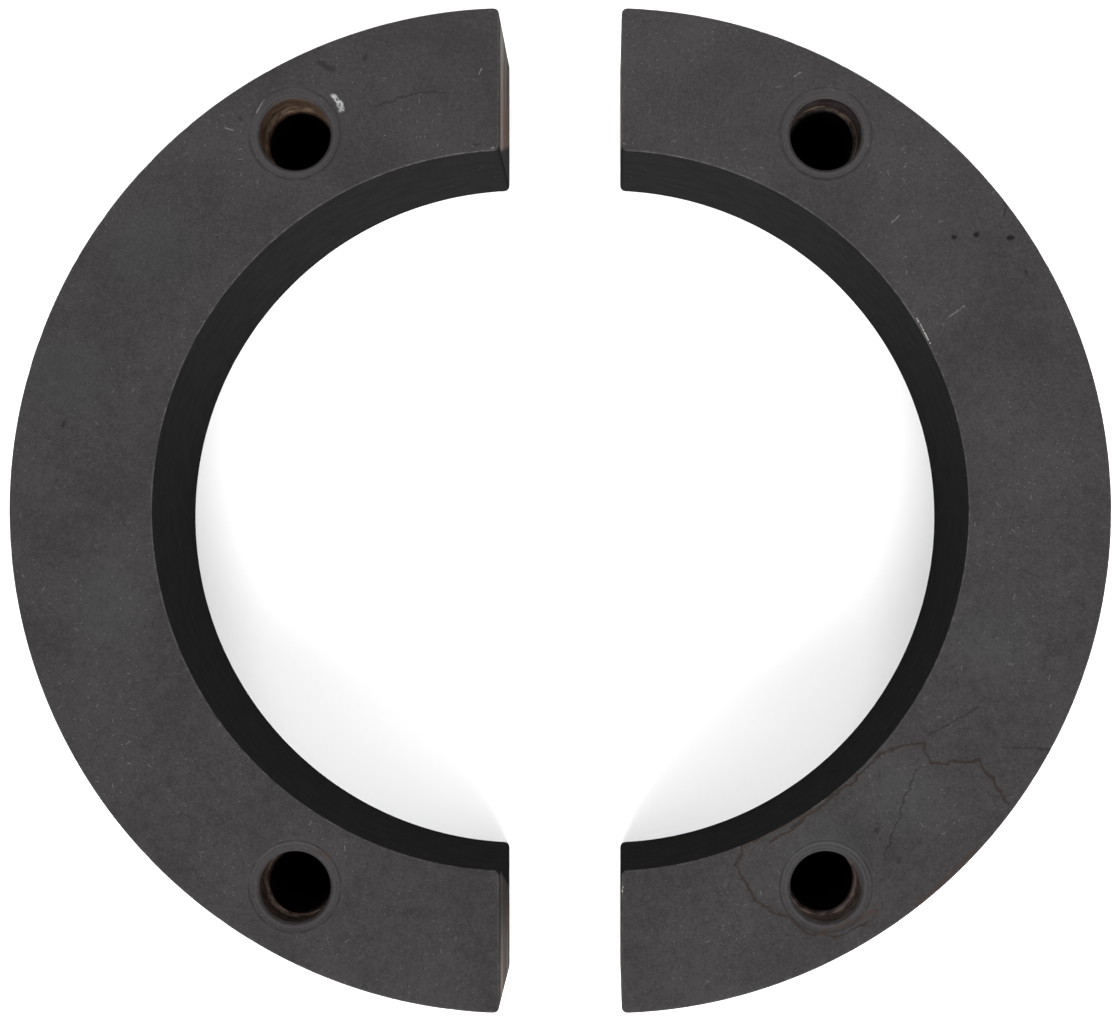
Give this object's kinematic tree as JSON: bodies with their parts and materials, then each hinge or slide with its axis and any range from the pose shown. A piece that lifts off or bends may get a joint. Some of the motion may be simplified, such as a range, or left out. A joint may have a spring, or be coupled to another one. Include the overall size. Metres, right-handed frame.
{
  "type": "shaft collar",
  "caption": "Split shaft collar in black-oxide steel, with a plain bore and axial tapped holes in the front face of each half.",
  "frame": {"origin": "on the surface that the two halves lie on, midway between them", "axes": "+X from the left half to the right half, across the split; +Z along the shaft, out of the face with the screw holes; +Y along the split, away from the viewer"},
  "size_m": [0.153, 0.1396, 0.0286],
  "materials": {
    "black_oxide_steel": "satin"
  },
  "bodies": {
    "left": {"left_half": "black_oxide_steel"},
    "right": {"right_half": "black_oxide_steel"}
  },
  "joints": [
    {"name": "closing_slide", "type": "slide", "parent": "left", "child": "right", "axis": [1, 0, 0], "range_m": [-0.0134, 0.06]}
  ]
}
